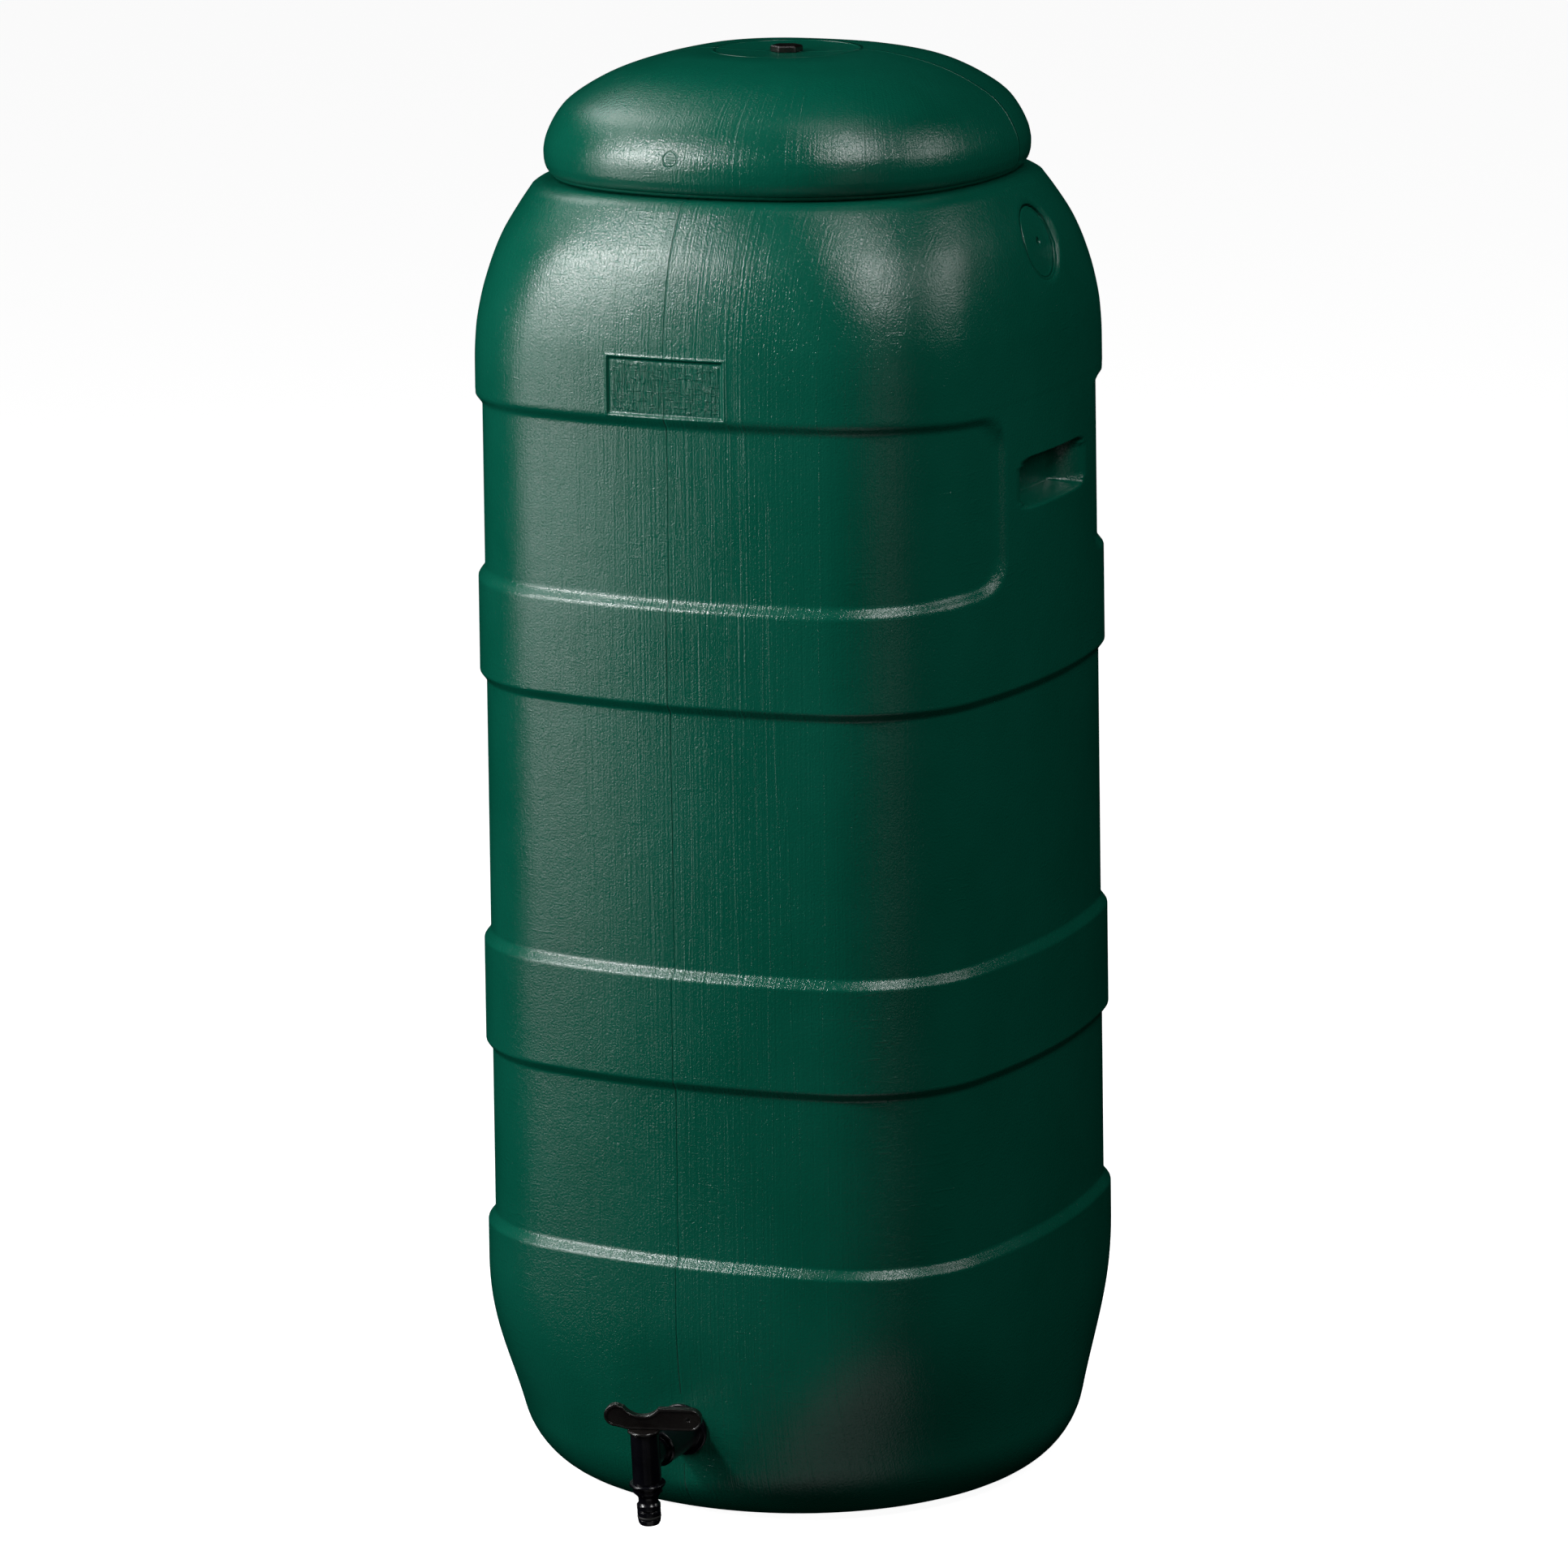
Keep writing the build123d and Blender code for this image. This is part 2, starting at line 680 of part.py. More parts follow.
def main():
    """Builds every piece and writes one file for each."""
    pieces = {
        "barrel_body": make_body(),
        "lid": make_lid(),
        "lid_lock_bolt": make_lock_bolt(),
        "lid_lock_bar": make_lock_bar(),
        "lid_lock_nut": make_lock_nut(),
    }
    for name, piece in tap_pieces().items():
        pieces[name] = on_seat(piece)
    os.makedirs("parts", exist_ok=True)
    for name, piece in pieces.items():
        export_step(piece, f"parts/{name}.step")


main()
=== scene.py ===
"""Looks for the rain barrel: detailed body and lid, procedural materials, camera and lights."""

import math

import bpy
import numpy as np
from mathutils import Matrix, Vector


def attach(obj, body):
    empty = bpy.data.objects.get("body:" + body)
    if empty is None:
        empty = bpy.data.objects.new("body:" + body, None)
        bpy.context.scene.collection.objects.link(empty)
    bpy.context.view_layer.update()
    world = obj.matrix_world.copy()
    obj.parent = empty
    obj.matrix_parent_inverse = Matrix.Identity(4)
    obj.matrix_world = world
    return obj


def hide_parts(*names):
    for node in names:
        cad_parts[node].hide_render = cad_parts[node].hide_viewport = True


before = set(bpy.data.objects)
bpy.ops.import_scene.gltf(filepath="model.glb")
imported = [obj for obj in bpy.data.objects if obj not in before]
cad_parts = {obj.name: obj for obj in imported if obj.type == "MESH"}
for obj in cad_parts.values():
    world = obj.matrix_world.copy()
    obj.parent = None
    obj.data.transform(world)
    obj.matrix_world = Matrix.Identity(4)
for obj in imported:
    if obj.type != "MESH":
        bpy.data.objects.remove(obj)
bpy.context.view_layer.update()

MM = 0.001

# Plan shape shared by every height of the body, in millimetres: the radii hold at half
# width PLAN_HALF, and the wall narrows by DRAFT per millimetre of height
PLAN_HALF = 188.0
HALF_WIDTH = 191.0
DRAFT = 0.0056
SIDE_R = 530.0
CORNER_R = 94.0
WALL_T = 3.0

# What belongs to the front or to a side only lies further than this from the axis
OFF_AXIS = 100.0

# Raised bands: heights where the wall meets them
BASE_BAND_TOP = 187.0
LOW_BAND = (301.0, 385.0)
MID_BAND = (557.0, 634.0)
SHOULDER_STEP = 747.0
BASE_PROUD = 4.9
BAND_PROUD = 4.5
BAND_SLOPE_H = 7.5

# Rounded base: edge radius at the floor, lean of its wall, and how round its plan is there
BASE_EDGE_R = 42.0
BASE_LEAN = 7.7
BASE_LEAN_TOP = 130.0
BASE_ROUND = 0.97
BASE_ROUND_TOP = 155.0
BASE_TOP = 175.0

# Shoulder stations: height above the step, reach 26 degrees off the side, corner centre
SHOULDER = (
    (9, 211.8, 85.5),
    (30, 211.6, 85.0),
    (50, 210.3, 82.0),
    (70, 206.7, 77.0),
    (90, 200.8, 69.0),
    (110, 192.5, 58.0),
    (130, 180.2, 45.0),
    (142, 171.6, 36.0),
)
REACH_ANGLE = math.radians(26)
SHOULDER_C_LOW = 30.0
SHOULDER_SIDE_R = SIDE_R + 4

# Ledge under the lid and neck above it, out to in: reach and drop, negative above the ledge;
# inside the reach NECK_REACH_OUT the side radius shrinks with the reach
NECK_SIDE_R = 255.0
NECK_REACH_OUT = 160.0
LEDGE_REACH_OUT = 165.9
LEDGE_Z = SHOULDER_STEP + 146.5
NECK_C = 29.1
LEDGE_C = (34.5, 32.8, 31.3)
LEDGE = (
    (169.6, 3.1),
    (167.2, 1.7),
    (164.6, 0.6),
    (161.5, 0.0),
    (156.0, 0.0),
    (151.2, 0.0),
    (150.1, -0.5),
    (149.9, -1.6),
    (149.9, -38.9),
    (149.6, -39.8),
    (148.9, -40.3),
    (147.9, -40.5),
)

# Inside of the neck: reach and height from the rim down to the inner wall, then the corner
# centres of its last rows and the heights above the step of the rows inside the shoulder
NECK_INSIDE = (
    (146.9, 934.0),
    (146.2, 933.5),
    (145.9, 932.5),
    (145.9, 891.6),
    (146.6, 890.6),
    (150.0, 890.3),
    (158.0, 890.2),
    (163.5, 888.5),
    (167.5, 884.5),
    (176.0, 875.0),
)
NECK_INSIDE_C = (32.0, 36, 44)
SHOULDER_INSIDE = (112.0, 100, 88, 74, 58, 40, 20)

# Side panels: the window below the shoulder step ends at them in rounded corners, and
# narrows by PANEL_PINCH between the two PANEL_PINCH_ENDS ahead of their edge
SIDE_Y = 8.5
PANEL_HALF = 78.0
PANEL_CORNER_R = 22.0
PANEL_PINCH = 3.2
PANEL_PINCH_ENDS = (110.0, 10.0)
BEYOND_FRONT = 400.0

# Lifting pockets: the soft values are how far each edge's slope runs
POCKET_Z = 698.5
POCKET_W = 108.0
POCKET_H = 35.0
POCKET_FLOOR_X = 168.3
POCKET_REACH_Y = 90.0
POCKET_LOW_SOFT = 6.0
POCKET_HIGH_SOFT = 2.5
POCKET_END_SOFT = 17.0
POCKET_CORNER_R = 16.0
POCKET_CORNER_SOFT = 4.0

# Label panel on the front: sunk inside an outline, with a low rim round it
LABEL_HALF_W = 42.0
LABEL_Z = (755.5, 793.5)
LABEL_CORNER_R = 1.0
LABEL_DEPTH = 0.8
LABEL_SLOPE = 1.5
LABEL_RIM = 0.25
LABEL_RIM_HALF_W = 1.3
LABEL_EDGE = np.array([-2.4, -1.2, -0.4, 0.3, 1.0, 2.2])

# Round knock-outs: centre, tilt, radius and depth, which grows towards the back
KNOCKOUT = (178.0, 12.0, 853.0)
KNOCKOUT_TILT = math.radians(25)
KNOCKOUT_R = 26.0
KNOCKOUT_EDGE_R = 28.5
KNOCKOUT_EDGE_SOFT = 5.0
KNOCKOUT_DEPTH = 0.6
KNOCKOUT_DEEPEN = 0.07

# Leaning flat that carries the tap, with its shallow round seat and how both fade out
TAP_Z = 66.0
FLAT_Y = -188.9
TAP_TILT = math.radians(4.6)
TAP_SEAT_R = 25.0
TAP_SEAT_DEPTH = 0.4
TAP_SEAT_SLOPE = 9.0
TAP_PAD_T = 6.0
FLAT_R = TAP_SEAT_R + 64
FLAT_FADE = 60.0

# Lid: its plan turns round between the insets LID_ROUND; the stations give inset from the
# widest plan and height, and the last ones run down into the dish
LID_HALF = 157.2
LID_CORNER_R = 124.7
LID_SIDE_R = 252.7
LID_T = 3.0
LID_ROUND = (60.0, 126.0)
LID = (
    (7.4, 895.9),
    (4.2, 897.6),
    (1.6, 901.2),
    (0.2, 906.5),
    (0.0, 911.5),
    (0.9, 918.0),
    (3.6, 925.6),
    (13.7, 941.6),
    (29.7, 953.6),
    (53.7, 965.2),
    (77.7, 972.0),
    (97.0, 975.1),
    (106.5, 975.45),
    (112.0, 975.1),
    (127.0, 974.2),
    (145.0, 973.5),
)
LID_HOLE_R = 5.3

# Places of the lid's marks: ring, parting line and the gate mark's centre in metres
LID_RING_R = 49.5
LID_SEAM_TURN = math.radians(12)
LID_GATE = (-0.0104, 0.9200)

# Columns on each arc, side and corner in turn from +X; even ones nearer than COLUMN_GAP of a
# step to an extra one are left out
BODY_COLUMNS = (36, 22, 28, 22, 36, 22, 40, 22)
LID_COLUMNS = (40, 18) * 4
COLUMN_GAP = 0.4

# Rings of the flat foot, as shares of its reach
FOOT_SHARES = (0.35, 0.6, 0.8, 0.93)

# Rows of the wall: plain stretches outside, and heights inside above and below the pockets
ROWS_APART = 14.0
PLAIN_WALL = ((200, 300), (312, 374), (387, 555), (568, 622))
INNER_HIGH = (756.0, 747, 740)
INNER_LOW = (645.0, 634, 625, 566, 557, 385, 376, 310, 301, 187, 178)


# ---------------------------------------------------------------- plan curves


def corner_centre(half, corner_r, side_r):
    """Offset of the corner arc's centre so that it meets the side arc tangentially."""
    k = side_r - half
    return (-k + np.sqrt(k * k - 2 * (k * k - (side_r - corner_r) ** 2))) / 2


def half_width(c, corner_r, side_r):
    """Half width of a plan made of the given corner and side arcs."""
    return c + side_r - np.sqrt((side_r - corner_r) ** 2 - c**2)


def columns(counts, extra=None):
    """Arc of each column round a plan, and its place along that arc from 0 to 1.

    Places in extra are added to their arc and replace the even ones that they come close to.
    """
    marks = []
    for arc, n in enumerate(counts):
        places = np.arange(n) / n
        if extra and arc in extra:
            spare = np.abs(places[:, None] - extra[arc]).min(1) > COLUMN_GAP / n
            places = places[spare]
            places = np.unique(np.concatenate([places, extra[arc]]))
        marks += [(arc, place) for place in places]
    return np.array([m[0] for m in marks]), np.array([m[1] for m in marks])


def side_places(offsets):
    """Places along a side of the lower shoulder's plan at offsets from the side's middle."""
    half = half_width(BODY_C, CORNER_R, SIDE_R) + BAND_PROUD
    joint = np.arctan2(BODY_C, BODY_C + SHOULDER_SIDE_R - half)
    return 0.5 + np.arcsin(np.asarray(offsets) / SHOULDER_SIDE_R) / (2 * joint)


def plan_points(c, corner_r, side_r, marks):
    """Points and outward normals of many plans at once: rows are plans, columns are marks."""
    arc, place = marks
    c, corner_r, side_r = (np.asarray(v, float)[:, None] for v in (c, corner_r, side_r))
    half = half_width(c, corner_r, side_r)
    joint = np.arctan2(c, c + side_r - half)
    is_side = (arc % 2 == 0)[None, :]
    side_angle = joint * (2 * place[None, :] - 1)
    corner_angle = joint + (math.pi / 2 - 2 * joint) * place[None, :]
    angle = np.where(is_side, side_angle, corner_angle)
    radius = np.where(is_side, side_r, corner_r)
    cx = np.where(is_side, half - side_r, c)
    cy = np.where(is_side, 0.0, c)
    x, y = cx + radius * np.cos(angle), cy + radius * np.sin(angle)
    turn = (arc // 2) * math.pi / 2
    ct, st = np.cos(turn)[None, :], np.sin(turn)[None, :]
    points = np.stack([x * ct - y * st, x * st + y * ct], -1)
    normals = np.stack([np.cos(angle + turn[None, :]), np.sin(angle + turn[None, :])], -1)
    return points, normals


def ramp(t, ease=0.22):
    """0 to 1 with eased ends and a straight middle."""
    t = np.clip(t, 0, 1)
    slope = 1 / (1 - ease)
    low = slope * t * t / (2 * ease)
    high = 1 - slope * (1 - t) ** 2 / (2 * ease)
    mid = slope * (t - ease / 2)
    return np.where(t < ease, low, np.where(t > 1 - ease, high, mid))


def soft_step(t):
    """Smooth step from 0 to 1."""
    t = np.clip(t, 0, 1)
    return t * t * (3 - 2 * t)


def spline(xs, ys, x):
    """Monotone cubic through the points (xs, ys), evaluated at x."""
    xs, ys = np.asarray(xs, float), np.asarray(ys, float)
    h = np.diff(xs)
    d = np.diff(ys) / h
    m = np.zeros_like(ys)
    same = d[:-1] * d[1:] > 0
    w1, w2 = 2 * h[1:] + h[:-1], h[1:] + 2 * h[:-1]
    inner = np.zeros(len(d) - 1)
    inner[same] = (w1 + w2)[same] / (w1[same] / d[:-1][same] + w2[same] / d[1:][same])
    m[1:-1] = inner
    m[0], m[-1] = d[0], d[-1]
    i = np.clip(np.searchsorted(xs, x) - 1, 0, len(h) - 1)
    t = (x - xs[i]) / h[i]
    return (
        ys[i] * (1 + 2 * t) * (1 - t) ** 2
        + ys[i + 1] * t * t * (3 - 2 * t)
        + h[i] * (m[i] * t * (1 - t) ** 2 - m[i + 1] * t * t * (1 - t))
    )


# ---------------------------------------------------------------- body surface


def rounded_box_distance(u, v, half_u, half_v, radius):
    """Signed distance from a rounded rectangle, negative inside."""
    du, dv = np.abs(u) - half_u + radius, np.abs(v) - half_v + radius
    outside = np.hypot(np.maximum(du, 0), np.maximum(dv, 0))
    return outside + np.minimum(np.maximum(du, dv), 0) - radius


def proud(points, z):
    """How far the surface stands out of the plain wall at each point."""
    h = BAND_SLOPE_H
    base = BASE_PROUD * (1 - ramp((z - BASE_BAND_TOP + h) / h))
    low = BAND_PROUD * (ramp((z - LOW_BAND[0]) / h) - ramp((z - LOW_BAND[1] + h) / h))
    mid_low = ramp((z - MID_BAND[0]) / h)
    window_z = (MID_BAND[1] + SHOULDER_STEP) / 2
    across = np.abs(points[..., 1] - SIDE_Y) - PANEL_HALF
    far, close = PANEL_PINCH_ENDS
    pinch = PANEL_PINCH * soft_step((far - across) / (far - close))
    window_h = (SHOULDER_STEP - MID_BAND[1]) / 2 - np.where(across > 0, pinch, 0)
    window = rounded_box_distance(
        across - BEYOND_FRONT, z - window_z, BEYOND_FRONT, window_h, PANEL_CORNER_R
    )
    return base + low + BAND_PROUD * np.minimum(mid_low, ramp(window / h))


def sink_pockets(points, z, grow):
    """Pushes the surface in at the lifting pockets, steeply above, softer below and at the ends."""
    x, y = points[..., 0], points[..., 1]
    half_w, half_h = POCKET_W / 2 + grow, POCKET_H / 2 + grow
    along = half_w - np.abs(y - SIDE_Y)
    low, high = z - POCKET_Z + half_h, POCKET_Z + half_h - z
    share = np.minimum(ramp(low / POCKET_LOW_SOFT), ramp(high / POCKET_HIGH_SOFT))
    past_end = np.clip(1 - along / POCKET_CORNER_R, 0, 1)
    past_edge = np.clip(1 - np.minimum(low, high) / POCKET_CORNER_R, 0, 1)
    corner = 1 - np.hypot(past_end, past_edge)
    share = np.minimum(share, ramp(corner * POCKET_CORNER_R / POCKET_CORNER_SOFT))
    share = np.minimum(share, soft_step(along / POCKET_END_SOFT))
    sunk = np.minimum(np.abs(x), POCKET_FLOOR_X - grow)
    shaped = np.sign(x) * (np.abs(x) + (sunk - np.abs(x)) * share)
    points[..., 0] = np.where(np.abs(y) < POCKET_REACH_Y, shaped, x)


def flatten_tap_seat(points, z, inner):
    """Shapes the leaning flat under the tap and the shallow round seat in it."""
    x, y = points[..., 0], points[..., 1]
    flat = FLAT_Y - (z - TAP_Z) * math.tan(TAP_TILT)
    radius = np.hypot(x, (z - TAP_Z) / math.cos(TAP_TILT))
    in_seat = soft_step((TAP_SEAT_R + TAP_SEAT_SLOPE - radius) / TAP_SEAT_SLOPE)
    if inner:
        flat = flat + WALL_T
        seat = flat + TAP_SEAT_DEPTH + TAP_PAD_T - WALL_T
    else:
        seat = flat + TAP_SEAT_DEPTH
    shaped = y + (np.maximum(y, flat) - y) * soft_step((FLAT_R - radius) / FLAT_FADE)
    shaped = shaped + (seat - shaped) * in_seat
    points[..., 1] = np.where((y < 0) & (radius < FLAT_R), shaped, y)


def sink_label(points, z):
    """Sinks the label panel on the front behind a slightly raised rim."""
    middle, half_h = (LABEL_Z[0] + LABEL_Z[1]) / 2, (LABEL_Z[1] - LABEL_Z[0]) / 2
    away = rounded_box_distance(points[..., 0], z - middle, LABEL_HALF_W, half_h, LABEL_CORNER_R)
    sunk = LABEL_DEPTH * soft_step((0.3 - away) / LABEL_SLOPE)
    rim = LABEL_RIM * soft_step(1 - np.abs(away - 1.0) / LABEL_RIM_HALF_W)
    points[..., 1] += np.where(points[..., 1] < -OFF_AXIS, sunk - rim, 0)


def sink_knockouts(points, z):
    """Sinks the two round knock-outs of the shoulder, deepest at their back."""
    x, y = points[..., 0], points[..., 1]
    across = y - KNOCKOUT[1]
    out = np.abs(x) - KNOCKOUT[0]
    up = (z - KNOCKOUT[2]) * math.cos(KNOCKOUT_TILT) - out * math.sin(KNOCKOUT_TILT)
    radius = np.hypot(across, up)
    depth = KNOCKOUT_DEPTH + KNOCKOUT_DEEPEN * (across + KNOCKOUT_R)
    depth = depth * soft_step((KNOCKOUT_EDGE_R - radius) / KNOCKOUT_EDGE_SOFT)
    depth = np.where(np.abs(x) > OFF_AXIS, depth, 0)
    points[..., 0] = x - np.sign(x) * depth


def fade(t):
    """1 at t = 0, easing down to 0 at t = 1 and beyond."""
    return 0.5 * (1 + np.cos(math.pi * np.minimum(t, 1)))


def base_rows():
    """Plan and height of each row of the rounded base."""
    turn = np.radians(np.linspace(0, 90, 16))
    z = [BASE_EDGE_R * (1 - np.cos(turn)), np.arange(44.5, 94, 2.5), np.arange(97, BASE_TOP, 7)]
    z = np.concatenate(z)
    run = np.concatenate([BASE_EDGE_R * np.sin(turn), np.full(len(z) - len(turn), BASE_EDGE_R)])
    shift = HALF_WIDTH - DRAFT * z - PLAN_HALF + BASE_PROUD
    shift = shift - BASE_LEAN * fade(z / BASE_LEAN_TOP) - (BASE_EDGE_R - run)
    share = BASE_ROUND * fade(z / BASE_ROUND_TOP)
    corner, side = CORNER_R + shift, SIDE_R + shift
    half = half_width(BODY_C, corner, side)
    side = (1 - share) * side + share * (half + 1)
    corner = (1 - share) * corner + share * (half - 1)
    return corner_centre(half, corner, side), corner, side, z


BODY_C = corner_centre(PLAN_HALF, CORNER_R, SIDE_R)


def near(z, reach, step):
    """Heights every step within reach of z."""
    return np.arange(z - reach, z + reach + step / 2, step)


def wall_heights():
    """Heights of the rows of the wall: close together at edges and pockets, far apart between."""
    h = BAND_SLOPE_H
    edges = [BASE_BAND_TOP - h, LOW_BAND[0], LOW_BAND[1] - h, MID_BAND[0]]
    groups = [np.linspace(e - 1, e + h + 1, 11) for e in edges]
    for start, stop in PLAIN_WALL:
        groups.append(np.arange(start, stop, ROWS_APART))
    pocket_low, pocket_high = POCKET_Z - POCKET_H / 2, POCKET_Z + POCKET_H / 2
    groups.append(np.linspace(MID_BAND[1] - h - 1, MID_BAND[1] + 24, 20))
    groups.append(np.arange(MID_BAND[1] + 27, POCKET_Z - 20, 4.0))
    groups.append(np.arange(pocket_low - 1, pocket_low + 6.5, 0.75))
    groups.append(near(POCKET_Z, 10, 2.5))
    groups.append(np.arange(pocket_high - 6, pocket_high + 1.5, 0.75))
    groups.append(np.linspace(SHOULDER_STEP - 26, SHOULDER_STEP + h, 20))
    z = np.sort(np.concatenate(groups))
    keep = np.concatenate([[True], np.diff(z) > 0.5])
    return z[keep]


def wall_rows(heights):
    """Plan of the plain wall at each height."""
    shift = HALF_WIDTH - DRAFT * heights - PLAN_HALF
    return np.full(len(heights), BODY_C), CORNER_R + shift, SIDE_R + shift, heights


def table(rows):
    """The columns of a table as arrays."""
    return (np.array(column, float) for column in zip(*rows))


def plan_at_reach(reaches, centres, widest_side):
    """Plans of shoulder and neck with the given reach 26 degrees off the side."""
    corner = reaches - centres * (math.cos(REACH_ANGLE) + math.sin(REACH_ANGLE))
    share = np.clip((centres - SHOULDER_C_LOW) / (BODY_C - SHOULDER_C_LOW), 0, 1)
    side = NECK_SIDE_R + share * (widest_side - NECK_SIDE_R)
    side = side - np.where(reaches < NECK_REACH_OUT, LEDGE_REACH_OUT - reaches, 0)
    return centres, corner, side


def shoulder_rows():
    """Plan and height of each row from the shoulder step over the ledge and the neck's rim."""
    rise, reach, c = table(SHOULDER)
    label_low = LABEL_Z[0] - SHOULDER_STEP - LABEL_EDGE[::-1]
    label_high = LABEL_Z[1] - SHOULDER_STEP + LABEL_EDGE
    between, above = np.arange(14, 43, 4.0), np.arange(52, 76, 4.0)
    z = np.concatenate([label_low[label_low > 9.2], between, label_high, above])
    z = np.concatenate([z, np.arange(77, 134, 2.2), [136.0, 139.0, 142.0]])
    reaches, centres = spline(rise, reach, z), spline(rise, c, z)
    z = z + SHOULDER_STEP
    ledge_reach, ledge_drop = table(LEDGE)
    neck_c = np.full(len(LEDGE) - len(LEDGE_C), NECK_C)
    reaches = np.concatenate([reaches, ledge_reach])
    centres = np.concatenate([centres, LEDGE_C, neck_c])
    z = np.concatenate([z, LEDGE_Z - ledge_drop])
    return (*plan_at_reach(reaches, centres, SHOULDER_SIDE_R), z)


def inner_rows():
    """Plan and height of the rows inside the neck and down the inner wall."""
    rim_reach, rim_z = table(NECK_INSIDE)
    rise, reach, c = table(SHOULDER)
    down = np.array(SHOULDER_INSIDE)
    neck_c = np.full(len(NECK_INSIDE) - len(NECK_INSIDE_C), NECK_C)
    reaches = np.concatenate([rim_reach, spline(rise, reach, down) - WALL_T])
    centres = np.concatenate([neck_c, NECK_INSIDE_C, spline(rise, c, down)])
    z = np.concatenate([rim_z, SHOULDER_STEP + down - 1])
    return (*plan_at_reach(reaches, centres, SIDE_R), z)


def body_points(rows, marks, inner, use_proud):
    """Points of a set of rows, with bands, pockets and tap seat applied."""
    c, corner, side, z = rows
    points, normals = plan_points(c, corner, side, marks)
    heights = np.repeat(z[:, None], points.shape[1], 1)
    if use_proud:
        points = points + normals * proud(points, heights)[..., None]
    sink_pockets(points, heights, WALL_T if inner else 0.0)
    flatten_tap_seat(points, heights, inner)
    if not inner:
        sink_label(points, heights)
        sink_knockouts(points, heights)
    return np.concatenate([points, heights[..., None]], -1)


def grid_mesh(name, points, closed_start=None, closed_end=None):
    """A smooth mesh from rows of points round an axis, with optional end points."""
    rows, cols = points.shape[:2]
    verts = [tuple(p) for p in (points.reshape(-1, 3) * MM)]
    faces = []
    for r in range(rows - 1):
        for k in range(cols):
            n = (k + 1) % cols
            faces.append((r * cols + k, r * cols + n, (r + 1) * cols + n, (r + 1) * cols + k))
    if closed_start is not None:
        verts.append(tuple(v * MM for v in closed_start))
        faces += [(len(verts) - 1, (k + 1) % cols, k) for k in range(cols)]
    if closed_end is not None:
        last = (rows - 1) * cols
        verts.append(tuple(v * MM for v in closed_end))
        faces += [(len(verts) - 1, last + k, last + (k + 1) % cols) for k in range(cols)]
    mesh = bpy.data.meshes.new(name)
    mesh.from_pydata(verts, [], faces)
    mesh.validate()
    mesh.shade_smooth()
    obj = bpy.data.objects.new(name, mesh)
    bpy.context.scene.collection.objects.link(obj)
    return obj


def shrink(rows, by):
    """Rows moved inward by a distance."""
    c, corner, side, z = rows
    return c, corner - by, side - by, z


def build_body():
    """The whole body: outer skin, neck and inner skin in one smooth mesh."""
    label = LABEL_HALF_W + LABEL_EDGE
    front = np.concatenate([-label[::-1], np.arange(-27.6, 28, 2.4), label])
    edge = PANEL_HALF - np.arange(-0.8, BAND_SLOPE_H + 1, 1.2)
    side = np.concatenate([SIDE_Y - edge, KNOCKOUT[1] + np.arange(-30.0, 30.5, 2.4), SIDE_Y + edge])
    extra = {0: side_places(np.sort(side)), 4: side_places(np.sort(-side)), 6: side_places(front)}
    marks = columns(BODY_COLUMNS, extra)
    base = base_rows()
    foot = plan_points(*(v[:1] for v in base[:3]), marks)[0]
    foot = np.concatenate([foot * share for share in FOOT_SHARES])
    foot = np.concatenate([foot, np.zeros(foot.shape[:2] + (1,))], -1)
    outer = [foot, body_points(base, marks, False, False)]
    outer.append(body_points(wall_rows(wall_heights()), marks, False, True))
    outer.append(body_points(shoulder_rows(), marks, False, False))
    inner_z = np.concatenate([INNER_HIGH, near(POCKET_Z, 24, 4.0)[::-1], INNER_LOW])
    count = len(base[3])
    picks = np.concatenate([np.arange(count - 2, 24, -3), np.arange(23, 14, -3), [12, 9, 6, 4, 2]])
    inner_base = [v[picks] for v in base]
    inner_base[3] = inner_base[3] * (1 - WALL_T / BASE_TOP) + WALL_T
    inside = [body_points(inner_rows(), marks, True, False)]
    inside.append(body_points(shrink(wall_rows(inner_z), WALL_T), marks, True, True))
    inside.append(body_points(shrink(inner_base, WALL_T), marks, True, False))
    points = np.concatenate(outer + inside)
    return grid_mesh("body_shell", points, (0, 0, 0), (0, 0, WALL_T))


# ---------------------------------------------------------------- lid surface


def lid_plan(inset):
    """Plan of the lid drawn in by inset, turning round towards its centre."""
    half = LID_HALF - inset
    corner = np.maximum(LID_CORNER_R - inset, 0.5 * half)
    side = np.maximum(LID_SIDE_R - 0.6 * inset, half + 1)
    share = np.clip((inset - LID_ROUND[0]) / (LID_ROUND[1] - LID_ROUND[0]), 0, 1)
    side = (1 - share) * side + share * (half + 1)
    corner = (1 - share) * corner + share * (half - 1)
    return corner_centre(half, corner, side), corner, side


def lid_profile(t):
    """Inset and height along the lid's outer profile, t from 0 at the rim to 1 at the centre."""
    inset, z = table(LID)
    run = np.concatenate([[0], np.cumsum(np.hypot(np.diff(inset), np.diff(z)))])
    run = run / run[-1]
    return spline(run, inset, t), spline(run, z, t)


